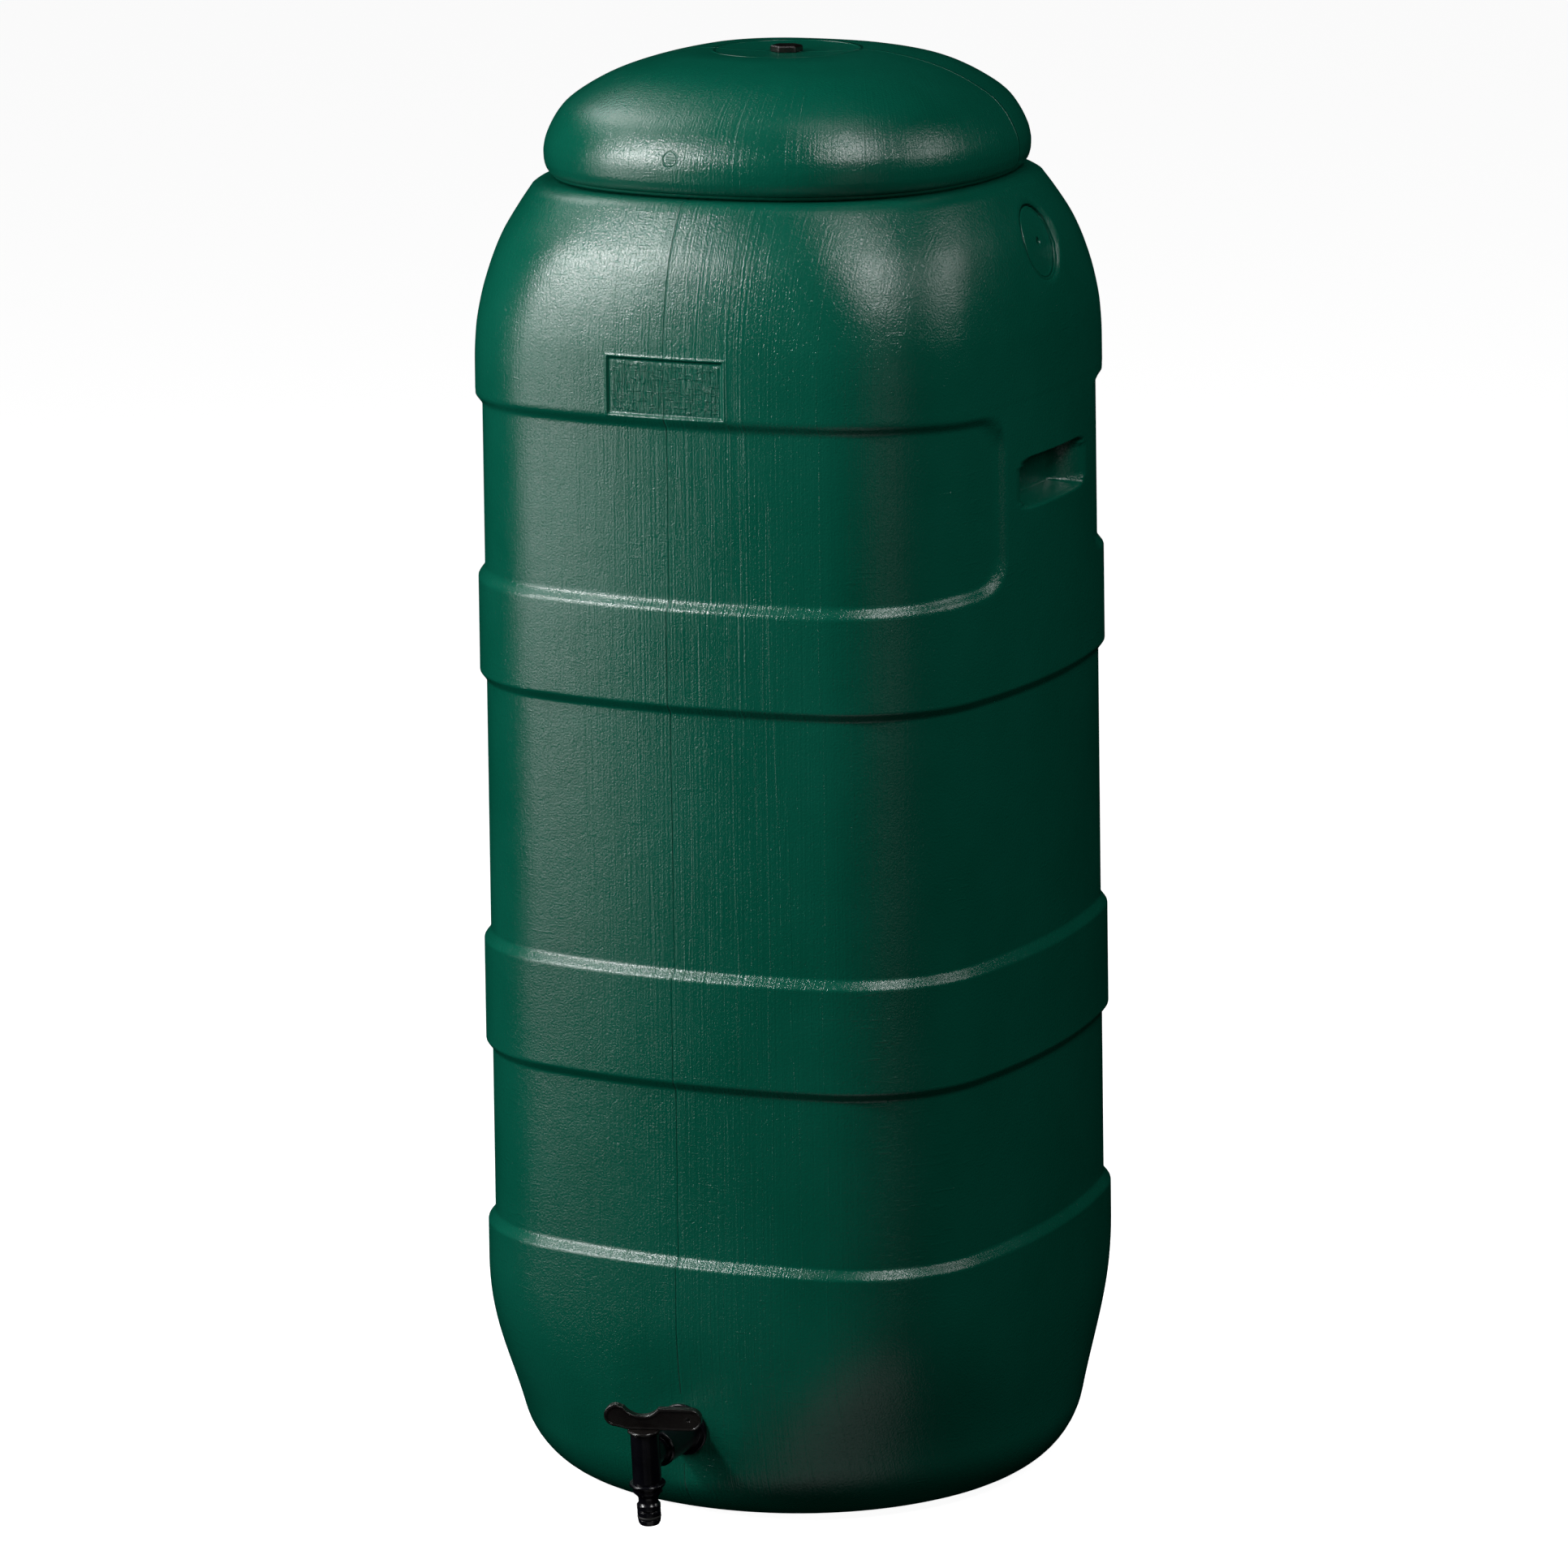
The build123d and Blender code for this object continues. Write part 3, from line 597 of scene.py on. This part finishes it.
def build_lid():
    """The domed lid: outer skin, rolled rim and inner skin."""
    marks = columns(LID_COLUMNS)
    t = np.concatenate([np.linspace(0, 0.2, 28), np.linspace(0.21, 1, 42)])
    inset, z = lid_profile(t)
    slope_in, slope_z = np.gradient(inset, t), np.gradient(z, t)
    length = np.hypot(slope_in, slope_z)
    inner_inset = inset + LID_T * slope_z / length
    inner_z = z - LID_T * np.abs(slope_in) / length
    hole = LID_HALF - LID_HOLE_R
    rim_inset, rim_z = [inset[0] + 2.2, inset[0] + 0.9], [z[0] - 0.2, z[0] - 0.15]
    inset = np.concatenate([[hole], inner_inset[::-3], rim_inset, inset, [hole]])
    z = np.concatenate([[inner_z[-1]], inner_z[::-3], rim_z, z, [z[-1] - 0.05]])
    points, _ = plan_points(*lid_plan(inset), marks)
    heights = np.repeat(z[:, None], points.shape[1], 1)
    return grid_mesh("lid_shell", np.concatenate([points, heights[..., None]], -1))


# ---------------------------------------------------------------- node materials


class Nodes:
    """Short calls for building a material's nodes."""

    def __init__(self, name):
        self.material = bpy.data.materials.new(name)
        self.material.use_nodes = True
        self.tree = self.material.node_tree
        self.tree.nodes.clear()
        self.shader = self.add("ShaderNodeBsdfPrincipled")
        output = self.add("ShaderNodeOutputMaterial")
        self.link(self.shader.outputs[0], output.inputs[0])
        self.place = self.add("ShaderNodeTexCoord").outputs["Object"]

    def add(self, kind, **settings):
        """A new node with the given settings."""
        node = self.tree.nodes.new(kind)
        for key, value in settings.items():
            setattr(node, key, value)
        return node

    def link(self, source, target):
        self.tree.links.new(source, target)

    def math(self, operation, a, b=None):
        """A calculation with one or two values or sockets."""
        node = self.add("ShaderNodeMath", operation=operation)
        for socket, value in zip(node.inputs, (a, b)):
            self.put(socket, value)
        return node.outputs[0]

    def put(self, socket, value):
        """Sets a socket to a value or links it to another socket."""
        if value is None:
            return
        if isinstance(value, (int, float, tuple)):
            socket.default_value = value
        else:
            self.link(value, socket)

    def axes(self):
        """The x, y and z of the place on the object, in metres."""
        split = self.add("ShaderNodeSeparateXYZ")
        self.link(self.place, split.inputs[0])
        return split.outputs

    def stretched(self, scale):
        """The place scaled along each axis."""
        mapping = self.add("ShaderNodeMapping")
        self.link(self.place, mapping.inputs["Vector"])
        mapping.inputs["Scale"].default_value = scale
        return mapping.outputs[0]

    def noise(self, scale, stretch=(1, 1, 1), detail=2.0, roughness=0.5):
        """Random mottle between 0 and 1."""
        node = self.add("ShaderNodeTexNoise")
        self.link(self.stretched(stretch), node.inputs["Vector"])
        node.inputs["Scale"].default_value = scale
        node.inputs["Detail"].default_value = detail
        node.inputs["Roughness"].default_value = roughness
        return node.outputs["Fac"]

    def streaks(self, across, along, scale_across, scale_along):
        """Noise drawn out along one direction."""
        joined = self.add("ShaderNodeCombineXYZ")
        self.link(self.math("MULTIPLY", across, float(scale_across)), joined.inputs[0])
        self.link(self.math("MULTIPLY", along, float(scale_along)), joined.inputs[1])
        node = self.add("ShaderNodeTexNoise", noise_dimensions="2D")
        self.link(joined.outputs[0], node.inputs["Vector"])
        node.inputs["Scale"].default_value = 1.0
        node.inputs["Detail"].default_value = 2.0
        return node.outputs["Fac"]

    def length(self, a, b):
        """Length of the vector (a, b)."""
        squares = self.math("ADD", self.math("MULTIPLY", a, a), self.math("MULTIPLY", b, b))
        return self.math("SQRT", squares)

    def fit(self, value, low, high, to_low=0.0, to_high=1.0, smooth=False):
        """Maps low to high onto to_low to to_high and holds it there beyond."""
        node = self.add("ShaderNodeMapRange")
        if smooth:
            node.interpolation_type = "SMOOTHSTEP"
        for socket, number in zip(node.inputs, (value, low, high, to_low, to_high)):
            self.put(socket, number)
        return node.outputs[0]

    def mix(self, share, a, b):
        """Colour a going over to b as share rises to 1."""
        node = self.add("ShaderNodeMix", data_type="RGBA")
        self.put(node.inputs[0], share)
        self.put(node.inputs[6], a)
        self.put(node.inputs[7], b)
        return node.outputs[2]

    def bump(self, height, distance, strength=1.0, below=None, invert=False):
        """Relief of the given depth in metres on top of the relief below."""
        node = self.add("ShaderNodeBump", invert=invert)
        node.inputs["Strength"].default_value = strength
        node.inputs["Distance"].default_value = distance
        self.link(height, node.inputs["Height"])
        if below is not None:
            self.link(below, node.inputs["Normal"])
        return node.outputs[0]

    def near_line(self, value, at, half):
        """1 on the line value = at, falling to 0 half away from it."""
        away = self.math("ABSOLUTE", self.math("SUBTRACT", value, at))
        return self.fit(away, 0.0, half, 1.0, 0.0, smooth=True)

    def box_distance(self, u, v, at, half):
        """Distance outside (positive) or inside (negative) a box in the plane of u and v."""
        du = self.math("SUBTRACT", self.math("ABSOLUTE", self.math("SUBTRACT", u, at[0])), half[0])
        dv = self.math("SUBTRACT", self.math("ABSOLUTE", self.math("SUBTRACT", v, at[1])), half[1])
        return self.math("MAXIMUM", du, dv)


# Green plastic: its two colours and roughnesses, and the depths of its relief in metres
GREEN_DARK = (0.0012, 0.066, 0.040, 1)
GREEN_LIGHT = (0.0022, 0.078, 0.049, 1)
GREEN_ROUGH = (0.15, 0.20)
WAVE_DEPTH = 0.0012
GRAIN_DEPTH = 0.00031
DENT_DEPTH = 0.00009
CHATTER_DEPTH = 0.00010
PULL_DEPTH = 0.00025
SEAM_HALF_W = 0.0010
SEAM_WOBBLE = 0.0003
SEAM_DEPTH = 0.0006
LABEL_RELIEF = 0.0008
KNOCKOUT_RELIEF = 0.0024
RING_HALF_W = 0.0022
RING_DEPTH = 0.0022
PARTING_HALF_W = 0.0018
PARTING_DEPTH = 0.0012
GATE_R = 0.0050
GATE_PITCH = 0.0016
GATE_DEPTH = 0.0004


def green_base(nodes, lines):
    """Colour, roughness and surface grain of the green blow-moulded plastic."""
    grain = nodes.noise(760, detail=3.0, roughness=0.6)
    wave = nodes.noise(34, detail=2.0)
    patch = nodes.noise(9, detail=3.0, roughness=0.6)
    tint = nodes.fit(patch, 0.3, 0.7)
    colour = nodes.mix(tint, GREEN_DARK, GREEN_LIGHT)
    nodes.link(colour, nodes.shader.inputs["Base Color"])
    rough = nodes.fit(patch, 0.3, 0.7, *GREEN_ROUGH)
    nodes.link(rough, nodes.shader.inputs["Roughness"])
    nodes.shader.inputs["Specular IOR Level"].default_value = 0.5
    dents = nodes.fit(nodes.noise(430, detail=1.0), 0.60, 0.72, 0.0, 1.0, smooth=True)
    dents = nodes.math("MULTIPLY", dents, nodes.fit(nodes.noise(14), 0.35, 0.75, 0.3, 1.0))
    chatter = nodes.fit(nodes.noise(190, stretch=(0.3, 0.3, 2.4), detail=1.0), 0.62, 0.72)
    where = nodes.fit(nodes.noise(11, stretch=(1, 1, 0.6)), 0.5, 0.66)
    chatter = nodes.math("MULTIPLY", chatter, where)
    height = nodes.bump(wave, WAVE_DEPTH, 0.22)
    height = nodes.bump(grain, GRAIN_DEPTH, 1.0, height)
    height = nodes.bump(dents, DENT_DEPTH, 1.0, height, invert=True)
    height = nodes.bump(chatter, CHATTER_DEPTH, 1.0, height)
    return nodes.bump(lines, PULL_DEPTH, 1.0, height)


def pulled_lines(nodes, across, along):
    """Fine lines left by the extrusion of the plastic, running along the pull."""
    fine = nodes.streaks(across, along, 640, 6)
    broad = nodes.streaks(across, along, 170, 4)
    single = nodes.near_line(nodes.streaks(across, along, 45, 0.8), 0.5, 0.008)
    lines = nodes.math("ADD", fine, nodes.math("MULTIPLY", broad, 0.35))
    return nodes.math("ADD", lines, nodes.math("MULTIPLY", single, 0.35))


def body_material():
    """Green plastic of the body, with its seam, label panel and knock-out rings.

    The pulled lines are strongest in the middle of the front and back and fade on the sides;
    the seam runs up both and stops at the seat of the tap.
    """
    nodes = Nodes("green_body")
    x, y, z = nodes.axes()
    lines = pulled_lines(nodes, x, z)
    off_middle = nodes.math("ABSOLUTE", nodes.math("SUBTRACT", x, 0.03))
    middle = nodes.fit(off_middle, 0.02, 0.13, 1.0, 0.3)
    lines = nodes.math("MULTIPLY", lines, middle)
    not_side = nodes.fit(nodes.math("ABSOLUTE", x), 0.166, 0.186, 1.0, 0.0)
    lines = nodes.math("MULTIPLY", lines, not_side)
    height = green_base(nodes, lines)
    front = nodes.math("LESS_THAN", y, 0.0)
    wobble = nodes.fit(nodes.noise(16, stretch=(0, 0, 1)), 0.3, 0.7, -SEAM_WOBBLE, SEAM_WOBBLE)
    seam = nodes.near_line(nodes.math("ADD", x, wobble), 0.0, SEAM_HALF_W)
    seat_up = nodes.math("SUBTRACT", z, TAP_Z * MM)
    in_seat = nodes.math("LESS_THAN", nodes.length(x, seat_up), TAP_SEAT_R * MM)
    clear = nodes.math("SUBTRACT", 1.0, nodes.math("MULTIPLY", in_seat, front))
    strength = nodes.fit(nodes.noise(18, stretch=(0, 0, 1)), 0.35, 0.6, 0.6, 1.0)
    seam = nodes.math("MULTIPLY", nodes.math("MULTIPLY", seam, clear), strength)
    height = nodes.bump(seam, SEAM_DEPTH, 1.0, height, invert=True)
    height = label_bump(nodes, x, z, front, height)
    height = knockout_bump(nodes, x, y, z, height)
    nodes.link(height, nodes.shader.inputs["Normal"])
    return nodes.material


def label_bump(nodes, x, z, front, height):
    """Relief of the label panel: a sunk rectangle with a raised rim and a fine hatch inside."""
    label_z = (LABEL_Z[0] + LABEL_Z[1]) / 2 * MM
    label_h = (LABEL_Z[1] - LABEL_Z[0]) / 2 * MM
    away = nodes.box_distance(x, z, (0.0, label_z), (LABEL_HALF_W * MM, label_h))
    sunk = nodes.fit(away, -0.0016, 0.0004, 1.0, 0.0, smooth=True)
    rim = nodes.near_line(away, 0.0010, 0.0014)
    inside = nodes.fit(away, -0.0040, -0.0020, 1.0, 0.0)
    uprights = nodes.fit(nodes.streaks(x, z, 620, 45), 0.4, 0.6)
    rungs = nodes.fit(nodes.streaks(z, x, 520, 90), 0.56, 0.66)
    hatch = nodes.math("ADD", uprights, nodes.math("MULTIPLY", rungs, 0.8))
    hatch = nodes.math("MULTIPLY", hatch, inside)
    shape = nodes.math("SUBTRACT", nodes.math("MULTIPLY", rim, 0.4), sunk)
    shape = nodes.math("ADD", shape, nodes.math("MULTIPLY", hatch, 0.6))
    return nodes.bump(nodes.math("MULTIPLY", shape, front), LABEL_RELIEF, 1.0, height)


def knockout_bump(nodes, x, y, z, height):
    """Ring groove and centre pip of the knock-outs."""
    side = nodes.math("ABSOLUTE", x)
    along = nodes.math("SUBTRACT", z, KNOCKOUT[2] * MM)
    out = nodes.math("SUBTRACT", side, KNOCKOUT[0] * MM)
    up = nodes.math(
        "SUBTRACT",
        nodes.math("MULTIPLY", along, math.cos(KNOCKOUT_TILT)),
        nodes.math("MULTIPLY", out, math.sin(KNOCKOUT_TILT)),
    )
    across = nodes.math("SUBTRACT", y, KNOCKOUT[1] * MM)
    radius = nodes.length(up, across)
    groove = nodes.near_line(radius, 0.0248, 0.0019)
    disc = nodes.fit(radius, 0.0236, 0.0264, 1.0, 0.0, smooth=True)
    pip = nodes.fit(radius, 0.0008, 0.0036, 1.0, 0.0, smooth=True)
    disc, groove = nodes.math("MULTIPLY", disc, 0.4), nodes.math("MULTIPLY", groove, 0.7)
    shape = nodes.math("ADD", disc, groove)
    shape = nodes.math("ADD", shape, nodes.math("MULTIPLY", pip, 1.3))
    return nodes.bump(shape, KNOCKOUT_RELIEF, 1.0, height, invert=True)


def lid_material():
    """Green plastic of the lid, with its ring, parting line and gate mark."""
    nodes = Nodes("green_lid")
    x, y, z = nodes.axes()
    fan = nodes.math("ARCTAN2", x, nodes.math("SUBTRACT", 0.095, y))
    lines = pulled_lines(nodes, nodes.math("MULTIPLY", fan, 0.22), nodes.length(x, y))
    lines = nodes.math("MULTIPLY", lines, nodes.fit(x, -0.10, 0.02, 0.1, 0.6))
    lines = nodes.math("MULTIPLY", lines, nodes.fit(y, 0.0, 0.06, 1.0, 0.0))
    height = green_base(nodes, lines)
    ring = nodes.near_line(nodes.length(x, y), LID_RING_R * MM, RING_HALF_W)
    turned = nodes.math(
        "SUBTRACT",
        nodes.math("MULTIPLY", y, math.cos(LID_SEAM_TURN)),
        nodes.math("MULTIPLY", x, math.sin(LID_SEAM_TURN)),
    )
    line = nodes.near_line(turned, 0.0, PARTING_HALF_W)
    height = nodes.bump(ring, RING_DEPTH, 1.0, height)
    height = nodes.bump(line, PARTING_DEPTH, 1.0, height)
    mark_u = nodes.math("SUBTRACT", x, LID_GATE[0])
    mark_v = nodes.math("SUBTRACT", z, LID_GATE[1])
    mark_r = nodes.length(mark_u, mark_v)
    stripes = nodes.math("SINE", nodes.math("MULTIPLY", mark_v, 2 * math.pi / GATE_PITCH))
    stripes = nodes.math("MULTIPLY", stripes, nodes.fit(mark_r, 0.0030, 0.0042, 0.22, 0.0))
    mark = nodes.math("ADD", nodes.near_line(mark_r, GATE_R, 0.0009), stripes)
    mark = nodes.math("MULTIPLY", mark, nodes.math("LESS_THAN", y, 0.0))
    height = nodes.bump(mark, GATE_DEPTH, 1.0, height, invert=True)
    nodes.link(height, nodes.shader.inputs["Normal"])
    return nodes.material


WORN_EDGE_R = 0.0009


def black_plastic(name, dark, light, rough, grain, shine=0.45):
    """Black plastic, rubber or paint, slightly mottled, with fine grain and softly worn edges."""
    nodes = Nodes(name)
    patch = nodes.noise(60, detail=3.0, roughness=0.6)
    colour = nodes.mix(nodes.fit(patch, 0.35, 0.75), dark, light)
    nodes.link(colour, nodes.shader.inputs["Base Color"])
    nodes.link(nodes.fit(patch, 0.3, 0.7, rough, rough + 0.05), nodes.shader.inputs["Roughness"])
    nodes.shader.inputs["Specular IOR Level"].default_value = shine
    worn = nodes.add("ShaderNodeBevel", samples=6)
    worn.inputs["Radius"].default_value = WORN_EDGE_R
    fine = nodes.noise(1400, detail=2.0)
    nodes.link(nodes.bump(fine, 0.0001, grain, worn.outputs["Normal"]), nodes.shader.inputs["Normal"])
    return nodes.material


def zinc_steel():
    """Zinc-plated steel with a faint mottle."""
    nodes = Nodes("zinc_steel")
    patch = nodes.noise(240, detail=4.0, roughness=0.6)
    colour = nodes.mix(nodes.fit(patch, 0.3, 0.7), (0.42, 0.43, 0.44, 1), (0.58, 0.59, 0.60, 1))
    nodes.link(colour, nodes.shader.inputs["Base Color"])
    nodes.shader.inputs["Metallic"].default_value = 1.0
    nodes.link(nodes.fit(patch, 0.3, 0.7, 0.28, 0.42), nodes.shader.inputs["Roughness"])
    nodes.link(nodes.bump(patch, 0.0001, 0.2), nodes.shader.inputs["Normal"])
    return nodes.material


def paint(node, material):
    """Gives a CAD node its material."""
    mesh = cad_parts[node].data
    mesh.materials.clear()
    mesh.materials.append(material)


TAP_BLACK = ((0.0015, 0.0015, 0.003, 1), (0.004, 0.004, 0.006, 1))
RUBBER_BLACK = ((0.004, 0.004, 0.004, 1), (0.010, 0.010, 0.010, 1))
BOLT_BLACK = ((0.003, 0.002, 0.002, 1), (0.006, 0.004, 0.003, 1))
LEVER_BLACK = ((0.004, 0.003, 0.003, 1), (0.008, 0.007, 0.006, 1))


def dress_small_parts():
    """Materials of the pieces that keep their CAD shape."""
    tap = black_plastic("black_tap", *TAP_BLACK, 0.19, 0.1)
    rubber = black_plastic("rubber_seal", *RUBBER_BLACK, 0.6, 0.4)
    bolt = black_plastic("black_bolt", *BOLT_BLACK, 0.24, 0.05, 1.0)
    lever = black_plastic("black_lever", *LEVER_BLACK, 0.22, 0.2, 0.6)
    steel = zinc_steel()
    for material, names in (
        (tap, ("tap_body", "tap_nozzle", "tap_back_nut")),
        (lever, ("tap_lever",)),
        (rubber, ("tap_rotor_seal_upper", "tap_rotor_seal_lower", "tap_nozzle_seal")),
        (rubber, ("tap_outer_washer", "tap_inner_washer")),
        (bolt, ("lid_lock_bolt",)),
        (steel, ("lid_lock_bar", "lid_lock_nut")),
    ):
        for node in names:
            paint(node, material)


# ---------------------------------------------------------------- camera and light


# Camera: its turn round the barrel, aim, level distance and height in metres, lens in mm
CAMERA_YAW = math.radians(25.85)
CAMERA_PAN = math.radians(0.096)
CAMERA_PITCH = math.radians(12.40)
CAMERA_ROLL = math.radians(-0.79)
CAMERA_DISTANCE = 5.086
CAMERA_HEIGHT = 1.590
CAMERA_LENS = 175.05
CAMERA_SENSOR = 36.0
CAMERA_FAR = 100

# Softboxes: name, azimuth and elevation in degrees, width and height in metres, power in watts
SOFTBOXES = (
    ("key", -41, 31, (0.32, 0.42), 48),
    ("key_side", -47, 17, (0.5, 0.8), 24),
    ("key_low", -48, -4, (0.7, 0.8), 12),
    ("back_left", -88, 50, (1.6, 0.8), 24),
    ("right", 55, 45, (0.32, 0.9), 27),
    ("right_low", 52, 0, (0.4, 1.0), 1.2),
    ("under", 30, -52, (2.0, 1.2), 3),
    ("back_right", 109, 30, (0.7, 0.7), 10),
    ("top", 60, 74, (0.8, 0.8), 5),
)
SOFTBOX_DISTANCE = 2.6
SOFTBOX_AIM_Z = 0.6
FLOOR_SIZE = 80
FLOOR_GLOW = 0.95


def add_camera():
    """The camera, in front and to the right of the barrel, a little above it."""
    data = bpy.data.cameras.new("camera")
    data.lens = CAMERA_LENS
    data.sensor_width = CAMERA_SENSOR
    camera = bpy.data.objects.new("camera", data)
    bpy.context.scene.collection.objects.link(camera)
    x, y = CAMERA_DISTANCE * math.sin(CAMERA_YAW), -CAMERA_DISTANCE * math.cos(CAMERA_YAW)
    camera.location = (x, y, CAMERA_HEIGHT)
    camera.rotation_mode = "XYZ"
    turn = Matrix.Rotation(CAMERA_YAW + CAMERA_PAN, 4, "Z")
    turn = turn @ Matrix.Rotation(math.pi / 2 - CAMERA_PITCH, 4, "X")
    turn = turn @ Matrix.Rotation(CAMERA_ROLL, 4, "Z")
    camera.rotation_euler = turn.to_euler()
    data.clip_end = CAMERA_FAR
    bpy.context.scene.camera = camera


def add_softbox(name, azimuth, elevation, size, power):
    """A rectangular soft light seen from the barrel at an azimuth and elevation in degrees."""
    turn, lift = math.radians(azimuth), math.radians(elevation)
    level = math.cos(lift)
    back = Vector((math.sin(turn) * level, -math.cos(turn) * level, math.sin(lift)))
    data = bpy.data.lights.new(name, "AREA")
    data.shape = "RECTANGLE"
    data.size, data.size_y = size
    data.energy = power
    light = bpy.data.objects.new(name, data)
    bpy.context.scene.collection.objects.link(light)
    light.location = Vector((0, 0, SOFTBOX_AIM_Z)) + back * SOFTBOX_DISTANCE
    light.rotation_euler = back.to_track_quat("Z", "Y").to_euler()


def add_floor():
    """A pale, evenly glowing floor that only the camera sees.

    It throws no light on the barrel and takes no shadow from it.
    """
    bpy.ops.mesh.primitive_plane_add(size=FLOOR_SIZE)
    floor = bpy.context.object
    floor.name = "floor"
    nodes = Nodes("floor")
    patch = nodes.noise(2.0)
    colour = nodes.mix(patch, (0.50, 0.50, 0.50, 1), (0.52, 0.52, 0.52, 1))
    nodes.link(colour, nodes.shader.inputs["Base Color"])
    nodes.shader.inputs["Roughness"].default_value = 1.0
    nodes.shader.inputs["Specular IOR Level"].default_value = 0.0
    nodes.shader.inputs["Emission Color"].default_value = (1, 1, 1, 1)
    nodes.shader.inputs["Emission Strength"].default_value = FLOOR_GLOW
    floor.data.materials.append(nodes.material)
    floor.visible_glossy = False
    floor.visible_diffuse = False
    floor.visible_shadow = False


def add_world():
    """A white background that only the camera sees."""
    world = bpy.data.worlds.new("studio")
    bpy.context.scene.world = world
    world.use_nodes = True
    background = world.node_tree.nodes["Background"]
    background.inputs[0].default_value = (1, 1, 1, 1)
    background.inputs[1].default_value = 1.0
    world.cycles_visibility.glossy = False
    world.cycles_visibility.diffuse = False


bpy.context.scene.view_settings.view_transform = "Standard"
body = build_body()
body.data.materials.append(body_material())
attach(body, "barrel")
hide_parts("barrel_body")
lid = build_lid()
lid.data.materials.append(lid_material())
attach(lid, "lid")
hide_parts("lid")
dress_small_parts()
add_floor()
add_world()
for softbox in SOFTBOXES:
    add_softbox(*softbox)
add_camera()
